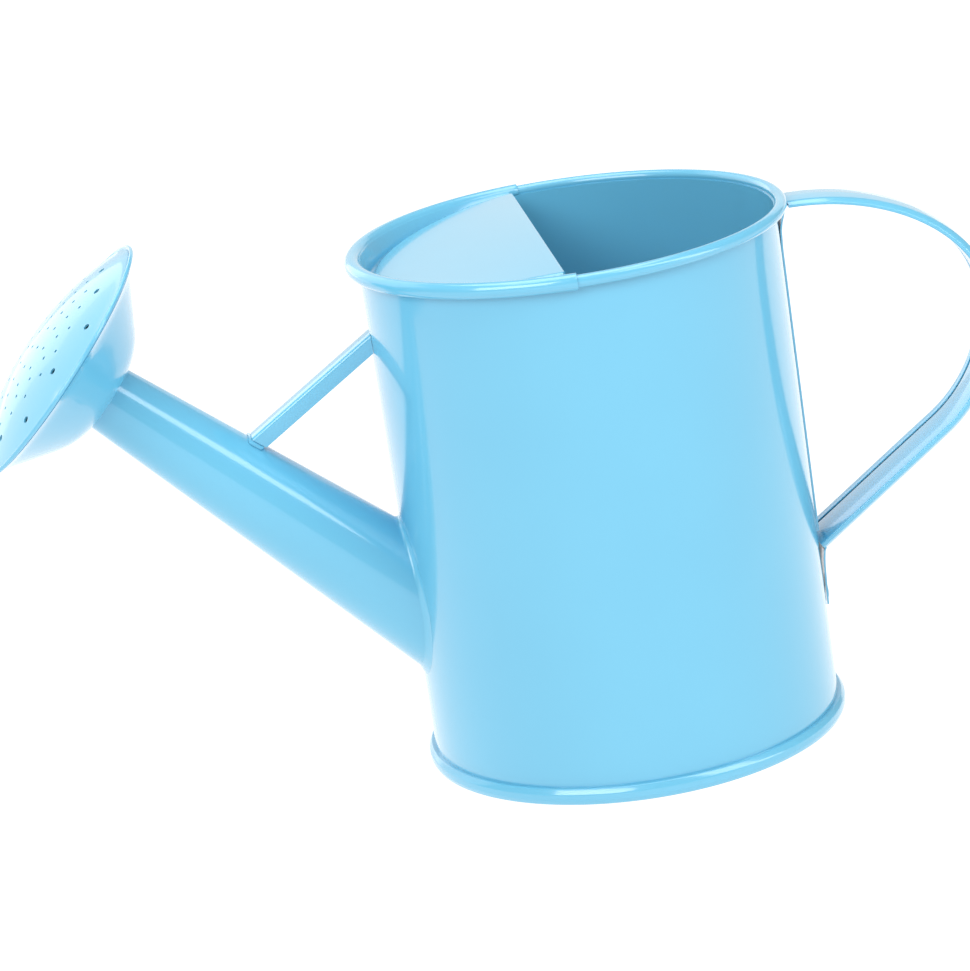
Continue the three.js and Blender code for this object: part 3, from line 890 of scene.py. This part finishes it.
@dataclass
class Rose:
    """The perforated head on the end of the spout, which turns on its spigot."""

    spigot_radius: float = 7.05
    spigot_start: float = 77.0
    lip_at: float = 99.2
    face_radius: float = 31.05
    lip_tube: float = 0.5
    face_behind: float = 0.15  # the face's back, behind the middle of the lip
    dome: float = 6.8
    outer_holes: int = 13
    outer_hole_at: Point = (24.2, 26.8)
    outer_hole_radius: float = 0.8
    inner_rings: tuple[tuple[float, int], ...] = ((4.4, 5), (8.8, 10), (13.0, 15), (16.6, 18), (20.2, 20))
    inner_hole_radius: float = 0.42
    punch_ball: float = 75.0  # the punches stand square to a ball of this radius
    bowl_points: list[Point] = field(default_factory=lambda: [
        (8.6, 84.75), (10.4, 84.95), (12.6, 85.6), (15.9, 87.35), (20.5, 91.0), (25.0, 94.7), (28.2, 97.1),
        (30.8, 98.3)])

    def spigot(self) -> None:
        """Turns the spigot, with a rolled end that enters the spout."""
        outer, low, high = self.spigot_radius, self.spigot_start, LINE.length + 2.0
        inner = outer - SHEET
        tube = rounded([(inner, low, 0.15), (outer, low, 0.25), (outer, high, 0.1), (inner, high, 0.1)])
        blank = Blank().turn(tube, steps=72)
        hand_over(blank.move(LINE.frame()), "rose_spigot_tube", "rose_spigot", body="rose")

    def bowl(self) -> None:
        """Spins the bowl from a flat shoulder out to the crimped lip."""
        outer = [(self.spigot_radius + 0.1, self.bowl_points[0][1]), *eased(self.bowl_points)]
        blank = Blank().turn(outer, closed=False, steps=TUBE_STEPS).face_to(-UP).thicken(SHEET)
        hand_over(blank.move(LINE.frame()), "rose_bowl_spun", "rose_bowl", body="rose")

    def lip(self) -> None:
        """Crimps the lip: the face's edge turned back over the bowl's."""
        inner, z = self.face_radius + 0.3, self.lip_at
        section = arc((inner + self.lip_tube, z), self.lip_tube, 120, -100, 14)
        section += [(inner - 0.9, z - 0.55), (inner - 0.9, z - 0.2), (inner - 0.2, z + 0.1)]
        blank = Blank().turn(section, steps=TUBE_STEPS)
        hand_over(blank.move(LINE.frame()), "rose_crimped_lip", "rose_lip", body="rose")

    def height(self, radius: float) -> float:
        """Height of the face's dome over its edge."""
        ball = (self.face_radius ** 2 + self.dome ** 2) / (2 * self.dome)
        return math.sqrt(ball ** 2 - radius ** 2) - ball + self.dome

    def face(self) -> None:
        """Presses the domed face and punches its holes."""
        stops = [self.face_radius * i / 16 for i in range(17)]
        back = [(r, self.lip_at - self.face_behind + self.height(r)) for r in stops]
        front = [(r, self.lip_at + SHEET - self.face_behind + self.height(r)) for r in reversed(stops)]
        cutter = Blank()
        for reach, turn, size in self.hole_places():
            lift = self.lip_at + self.height(reach)
            place = Matrix.Translation((reach * math.cos(turn), reach * math.sin(turn), lift))
            lean = Matrix.Rotation(turn, 4, "Z") @ Matrix.Rotation(reach / self.punch_ball, 4, "Y")
            bmesh.ops.create_cone(cutter.bm, cap_ends=True, segments=20, radius1=size, radius2=size,
                                  depth=4.0, matrix=place @ lean)
        blank = Blank().turn(back + front, closed=False, steps=TUBE_STEPS).pierce(cutter)
        blank.soften(0.08, sharper_than=60.0).move(LINE.frame())
        hand_over(blank, "rose_punched_face", "rose_face", body="rose", finish=Finish.PUNCHED)

    def hole_places(self) -> list[tuple[float, float, float]]:
        """Distance from the axis, angle and radius of each hole: fine rings, then larger ones outside."""
        places = [(0.0, 0.0, self.inner_hole_radius)]
        for reach, count in self.inner_rings:
            places += [(reach, 2 * math.pi * i / count, self.inner_hole_radius) for i in range(count)]
        for i in range(self.outer_holes):
            turn = -2 * math.pi * (i + 1) / self.outer_holes
            places.append((self.outer_hole_at[i % 2], turn, self.outer_hole_radius))
        return places

    def build(self) -> None:
        """Builds the rose."""
        self.spigot()
        self.bowl()
        self.lip()
        self.face()


@dataclass
class Handle:
    """The folded strap, its leg down the wall, the welded tab and the spot welds."""

    start: float = 51.75
    top: float = 122.9
    level_from: float = 52.6
    reach: float = 98.6
    back_height: float = 90.0
    bend: float = 36.1
    fall: float = 34.6
    foot: float = 50.1
    width_top: float = 12.6
    width_foot: float = 16.4
    depth_top: float = 1.5
    depth_foot: float = 2.6
    sheet: float = 0.42
    foot_gap: float = 0.1  # between the strap's cut end and the wall
    strip_proud: float = 0.5  # outer face of the leg, over the wall
    tab_proud: float = 0.7  # outer face of the tab at its welds
    button: tuple[Point, ...] = (  # a weld's profile: share of its radius, and height over the strip
        (0.0, -0.4), (1.0, -0.4), (1.0, 0.02), (0.9, 0.12), (0.74, 0.14), (0.62, 0.05), (0.3, 0.09),
        (0.0, 0.1))
    leg_head: tuple[Point, ...] = (  # where the leg comes out from under the rim: radius and height
        (51.2, 121.75), (51.05, 120.8), (50.65, 119.6), (50.2, 118.2), (49.8, 116.4))
    leg_stops: tuple[float, ...] = (112.0, 100.0, 80.0, 60.0, 42.6)
    tab: tuple[Point, ...] = (  # height, and how far the tab's outer face stands off the wall
        (38.3, 1.75), (37.7, 1.45), (37.0, 1.3), (35.5, 1.1), (33.6, 0.95), (30.0, 0.8), (27.0, 0.7),
        (24.3, 0.62))

    def outline(self) -> list[Point]:
        """The strap's outer face in side view, from the rim round to the wall."""
        half_x, half_z = self.reach - self.level_from, self.top - self.back_height
        points = [(self.start, self.top)]
        points += [(self.level_from + half_x * math.sin(a), self.back_height + half_z * math.cos(a))
                   for a in (math.pi / 2 * i / 40 for i in range(41))]
        points += arc((self.reach - self.bend, self.back_height), self.bend, 0, self.fall - 90, 24)[1:]
        x, z = points[-1]
        run = self.foot - x
        slope = math.tan(math.radians(self.fall))
        return points + [(x + run * i / 12, z + run * i / 12 * slope) for i in range(1, 13)]

    def section(self, width: float, depth: float) -> list[Point]:
        """The strap's section: a crowned face, two square shoulders, and flaps that leave a slit.

        Args:
            width: Width of the strap.
            depth: Depth of the strap.

        Returns:
            Points as (across, depth from the outer face).
        """
        half, t = width / 2, self.sheet
        side, inner, under = half - t, depth - t, t + 0.15
        slit, lip, shoulder, web = (width * share for share in (0.26, 0.33, 0.38, 0.34))
        return rounded([
            (-half, depth * 0.6, depth * 0.3), (-shoulder, depth * 0.1, 2.0), (0, 0, 9.0),
            (shoulder, depth * 0.1, 2.0), (half, depth * 0.6, depth * 0.3), (half, depth, 0.3),
            (lip, depth, 0.16), (lip, inner, 0.12), (side, inner, 0.05), (side, depth * 0.5, 0.1),
            (web, under, 0.4), (-web, under, 0.4), (-side, depth * 0.5, 0.1), (-side, inner, 0.05),
            (slit, inner, 0.12), (slit, depth, 0.16), (-half, depth, 0.3)], steps=3)

    @staticmethod
    def stations(outline: Sequence[Point],
                 section_at: Callable[[float], Sequence[Point]]) -> list[list[Vector]]:
        """Places a section square to an outline at each of its points.

        Args:
            outline: Side view of the outer face, as (x, z).
            section_at: Gives the section for a share of the way along.

        Returns:
            The section's points at each station.
        """
        placed = []
        last = len(outline) - 1
        run = [0.0]
        for (ax, az), (bx, bz) in zip(outline, outline[1:]):
            run.append(run[-1] + math.hypot(bx - ax, bz - az))
        for i, (x, z) in enumerate(outline):
            (ax, az), (bx, bz) = outline[max(i - 1, 0)], outline[min(i + 1, last)]
            length = math.hypot(bx - ax, bz - az)
            inward = Vector(((bz - az) / length, 0, -(bx - ax) / length))
            base = Vector((x, 0, z))
            placed.append([base + inward * deep + Vector((0, across, 0))
                           for across, deep in section_at(run[i] / run[-1])])
        return placed

    def strap(self) -> None:
        """Folds the strap, which widens and deepens towards its foot."""
        def section_at(share: float) -> list[Point]:
            return self.section(blend(self.width_top, self.width_foot, share * 1.3),
                                blend(self.depth_top, self.depth_foot, share * 2.2))

        slope = Vector((1, 0, math.tan(math.radians(self.fall))))

        def clear_of_wall(p: Vector) -> Vector:
            """Slides the lower end back along the strap until it fits the round wall."""
            reach = math.sqrt(max((WALL.radius(p.z) + self.foot_gap) ** 2 - p.y ** 2, 0.0)) - p.x
            return p + slope * max(reach, 0.0)

        blank = Blank().sweep(self.stations(self.outline(), section_at)).bend(clear_of_wall)
        hand_over(blank, "handle_folded_strap", "handle_strap")

    def wall_strip(self, outline: Sequence[Point], width: float, name: str, replaced: str) -> None:
        """Bends a flat strip that is curved across to follow the round wall.

        Args:
            outline: Radius and height of its outer face, from the top down.
            width: Its width.
            name: Name of the piece.
            replaced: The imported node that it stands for.
        """
        half, t = width / 2, self.sheet
        stops = [width * i / 8 - half for i in range(9)]
        section = [*((u, 0) for u in stops), *((u, t) for u in reversed(stops))]
        blank = Blank().sweep(self.stations(outline, lambda share: section))
        blank.bend(lambda p: Vector((math.sqrt(p.x ** 2 - p.y ** 2), p.y, p.z)))
        hand_over(blank, name, replaced)

    def welds(self) -> None:
        """Leaves the spot welds: shallow round buttons with a pressed ring."""
        for name in ("weld_leg_upper", "weld_leg_lower", "weld_tab_left", "weld_tab_right"):
            low, high = (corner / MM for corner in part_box(name))
            _, across, up = (low + high) / 2
            proud = self.tab_proud if "tab" in name else self.strip_proud
            centre = Vector((math.sqrt((WALL.radius(up) + proud) ** 2 - across ** 2), across, up))
            button = [((high.z - low.z) / 2 * share, z) for share, z in self.button]
            blank = Blank().turn(button, closed=False, steps=40)
            blank.move(Matrix.Translation(centre) @ Matrix.Rotation(math.pi / 2, 4, "Y"))
            hand_over(blank, name + "_button", name)

    def build(self) -> None:
        """Builds the handle's pieces."""
        self.strap()
        leg = eased(self.leg_head)
        leg += [(WALL.radius(z) + self.strip_proud, z) for z in self.leg_stops]
        self.wall_strip(leg, self.width_top, "handle_leg_strip", "handle_leg")
        tab = eased([(WALL.radius(z) + proud, z) for z, proud in self.tab])
        self.wall_strip(tab, self.width_foot - 2.0, "handle_welded_tab", "handle_tab")
        self.welds()


@dataclass
class Studio:
    """Pale floor, soft light and the camera."""

    camera_place: Corner = (-104.0, -913.0, 337.8)  # about the body's axis
    camera_turn: Corner = (73.31, 8.42, -7.29)  # degrees
    lens: float = 149.96
    floor_glow: float = 1.09
    floor_hex: str = "#45474A"
    room_light: float = 0.35

    def camera(self) -> None:
        """Sets the camera."""
        data = bpy.data.cameras.new("camera")
        data.lens = self.lens
        data.clip_end = 20.0
        camera = bpy.data.objects.new("camera", data)
        camera.location = DATUM.to_row() @ Vector(self.camera_place)
        camera.rotation_euler = [math.radians(a) for a in self.camera_turn]
        bpy.context.scene.collection.objects.link(camera)
        bpy.context.scene.camera = camera

    def floor(self) -> None:
        """Lays the floor."""
        blank = bmesh.new()
        bmesh.ops.create_grid(blank, x_segments=2, y_segments=2, size=6.0)
        mesh = bpy.data.meshes.new("floor")
        blank.to_mesh(mesh)
        blank.free()
        floor = bpy.data.objects.new("floor", mesh)
        paint, _, shader = fresh_material("frosted_light_table")
        shader.inputs["Base Color"].default_value = linear(self.floor_hex)
        shader.inputs["Roughness"].default_value = 0.9
        shader.inputs["Emission Color"].default_value = (1.0, 1.0, 1.0, 1.0)
        shader.inputs["Emission Strength"].default_value = self.floor_glow
        mesh.materials.append(paint)
        bpy.context.scene.collection.objects.link(floor)

    @staticmethod
    def soft_light(name: str, place: Corner, size: Point, watts: float, aim: Corner = (0.0, 0.0, 0.07),
                   upright: Vector = UP) -> None:
        """Hangs a soft box.

        Args:
            name: Name of the light.
            place: Its place, in metres.
            size: Its width and height, in metres.
            watts: Its power.
            aim: The point that it faces.
            upright: The direction that its height follows.
        """
        data = bpy.data.lights.new(name, "AREA")
        data.shape, data.size, data.size_y, data.energy = "RECTANGLE", size[0], size[1], watts
        light = bpy.data.objects.new(name, data)
        light.location = place
        back = (Vector(place) - Vector(aim)).normalized()
        across = upright.cross(back).normalized()
        light.rotation_euler = Matrix((across, back.cross(across), back)).transposed().to_euler()
        bpy.context.scene.collection.objects.link(light)

    def build(self) -> None:
        """Builds the studio."""
        self.camera()
        self.floor()
        world = bpy.data.worlds.new("white_room")
        world.use_nodes = True
        room = world.node_tree.nodes["Background"].inputs
        room["Color"].default_value = (1, 1, 1, 1)
        room["Strength"].default_value = self.room_light
        bpy.context.scene.world = world
        self.soft_light("front", (-0.9, -1.15, 1.05), (1.2, 0.9), 15.8)
        self.soft_light("overhead", (0.0, 0.1, 1.3), (1.0, 1.0), 9.0)
        self.soft_light("back_wall", (0.0, 2.6, 0.7), (4.0, 1.4), 9.5)
        self.soft_light("rose_side", (-1.185, 1.206, 0.776), (2.0, 1.8), 10.5, (-0.1, 0.0, 0.12))
        self.soft_light("spout_side", (0.82, -0.63, 0.575), (0.34, 1.7), 7.0, (-0.07, 0.0, 0.075),
                        LINE.along())
        bpy.context.scene.view_settings.view_transform = "Standard"


def main() -> None:
    """Builds the can, piece by piece, and the studio."""
    logging.basicConfig(level=logging.INFO, format="%(name)s: %(message)s")
    shell = BodyShell()
    shell.build()
    Hood().build(shell)
    Spout().build()
    Brace().build()
    Rose().build()
    Handle().build()
    Studio().build()


if __name__ == "__main__":
    main()
